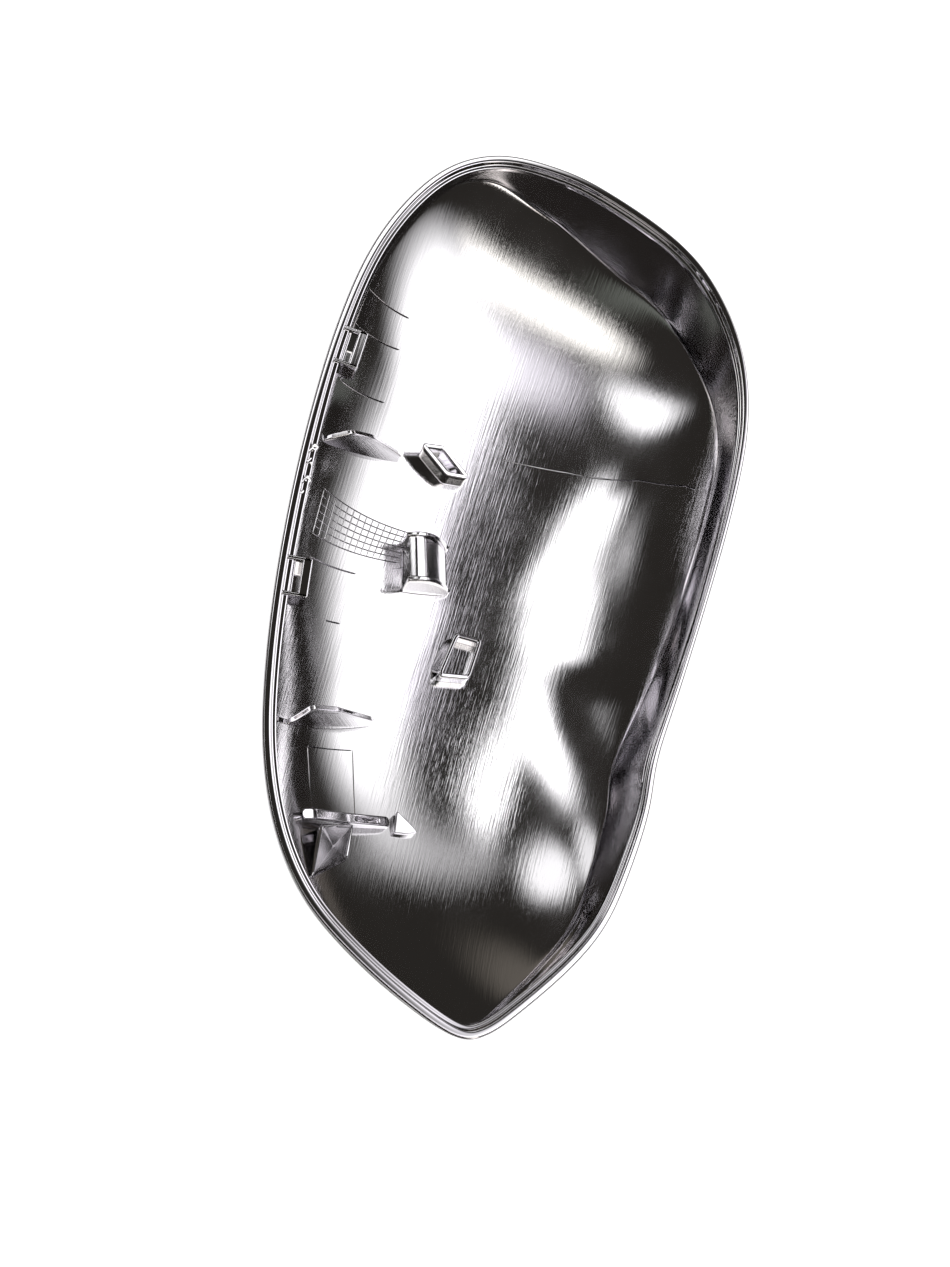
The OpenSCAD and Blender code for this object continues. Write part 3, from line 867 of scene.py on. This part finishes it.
# Middle, half widths, turn in degrees, colour and strength of each window
WINDOWS = {
    "long_window": ((0.03, -0.55), (0.50, 0.36), 77, "#ffffff", 1.8),
    "front_window": ((0.45, -0.55), (0.24, 0.38), -31, "#ffffff", 1.6),
    "low_window": ((0.28, -0.30), (0.30, 0.17), -26, "#fbf8ff", 1.6),
    "near_edge": ((-0.03, -0.18), (0.13, 0.36), 0, "#fbf8ff", 1.0),
    "far_strip": ((-0.77, -0.48), (0.10, 0.32), 0, "#fffaf2", 2.1),
    "far_tube": ((-0.24, -0.17), (0.09, 0.62), -6, "#fffdf6", 1.9),
    "ellipse_tube": ((-0.02, 0.48), (0.08, 0.42), -12, "#ffffff", 1.6),
    "streak_top": ((0.27, 0.45), (0.08, 0.24), 4, "#ffffff", 1.8),
    "streak_middle": ((0.25, 0.28), (0.10, 0.24), 22, "#ffffff", 1.8),
    "streak_low": ((0.43, 0.05), (0.09, 0.20), 42, "#ffffff", 2.2),
    "lamp": ((0.49, 0.42), (0.08, 0.26), 18, "#ffffff", 1.2),
    "door": ((0.36, 0.70), (0.09, 0.12), 20, "#ffffff", 1.0),
    "low_band": ((0.64, -0.20), (0.06, 0.45), 17, "#ffffff", 0.5),
    "low_tube": ((0.80, 0.40), (0.12, 0.60), 0, "#fff4e2", 0.10),
    "back_strip": ((-0.50, 0.50), (0.12, 0.70), 20, "#f4fff0", 0.12),
}


def soft_window(tree, plan, middle, half_widths, turn, colour, strength):
    """One window's light: full where the distance from its middle, measured in its half widths, is
    under the core's share, and falling smoothly to nothing at its edge."""
    local = add(tree, "ShaderNodeMapping", {
        "Vector": plan, "Location": (*middle, 0), "Rotation": (0, 0, np.radians(turn)),
        "Scale": (*half_widths, 1),
    }, vector_type="TEXTURE")
    distance = add(tree, "ShaderNodeVectorMath", {0: local.outputs[0]}, operation="LENGTH")
    glow = add(tree, "ShaderNodeMapRange", {
        "Value": distance.outputs["Value"], "From Min": 1.0, "From Max": WINDOW_CORE,
        "To Min": 0.0, "To Max": strength,
    }, interpolation_type="SMOOTHSTEP")
    light = add(tree, "ShaderNodeVectorMath", {0: linear(colour)[:3], "Scale": glow.outputs[0]},
                operation="SCALE")
    return light.outputs[0]


def soft_sky(tree):
    """The dim sky plus the light of every window."""
    way = add(tree, "ShaderNodeTexCoord").outputs["Generated"]
    plan = add(tree, "ShaderNodeVectorMath", {0: way, 1: (1, 1, 0)}, operation="MULTIPLY").outputs[0]
    total = linear(SKY)[:3]
    for window in WINDOWS.values():
        light = soft_window(tree, plan, *window)
        total = add(tree, "ShaderNodeVectorMath", {0: light, 1: total}, operation="ADD").outputs[0]
    return total


world = bpy.data.worlds.new("studio")
bpy.context.scene.world = world
world.use_nodes = True
sky = world.node_tree
background = sky.nodes["Background"]
ray = add(sky, "ShaderNodeLightPath")
seen = add(sky, "ShaderNodeMix", {
    "Factor": ray.outputs["Is Camera Ray"], "A": soft_sky(sky), "B": (1, 1, 1),
}, data_type="VECTOR")
sky.links.new(seen.outputs["Result"], background.inputs["Color"])
background.inputs["Strength"].default_value = LIGHT
print(f"sky: {len(WINDOWS)} windows, {len(sky.nodes)} nodes")

# %% [markdown]
# ## The camera
# The view looks down into the hollow, leaning towards the pointed end and rolled so that the cover
# stands upright in the picture. Its place is a direction and a distance from the middle of the rim.

# %% Camera
VIEW_LEAN, VIEW_SIDE, VIEW_ROLL = np.radians([16, 6, 16.5])
VIEW_DISTANCE = 0.6
VIEW_AIM = np.array([-0.01705, -0.00069, 0.062])
PIXELS_PER_MM = 3.778
PICTURE_HEIGHT = 1267
SENSOR_MM = 24.0

towards = np.array([-np.tan(VIEW_LEAN), np.tan(VIEW_SIDE), 1.0])
towards /= np.linalg.norm(towards)
level_up = np.array([1.0, 0, 0]) - towards * towards[0]
level_up /= np.linalg.norm(level_up)
level_right = np.cross(level_up, towards)
up = np.cos(VIEW_ROLL) * level_up - np.sin(VIEW_ROLL) * level_right
right = np.sin(VIEW_ROLL) * level_up + np.cos(VIEW_ROLL) * level_right
turned = Matrix(np.stack([right, up, towards], axis=1).tolist()).to_4x4()

camera_data = bpy.data.cameras.new("camera")
camera_data.sensor_fit = "VERTICAL"
camera_data.sensor_height = SENSOR_MM
camera_data.lens = PIXELS_PER_MM * VIEW_DISTANCE * 1000 / PICTURE_HEIGHT * SENSOR_MM
camera = bpy.data.objects.new("camera", camera_data)
camera.matrix_world = Matrix.Translation(VIEW_AIM + VIEW_DISTANCE * towards) @ turned
bpy.context.scene.collection.objects.link(camera)
bpy.context.scene.camera = camera
bpy.context.scene.view_settings.view_transform = "Standard"
print(f"lens {camera_data.lens:.1f} mm")
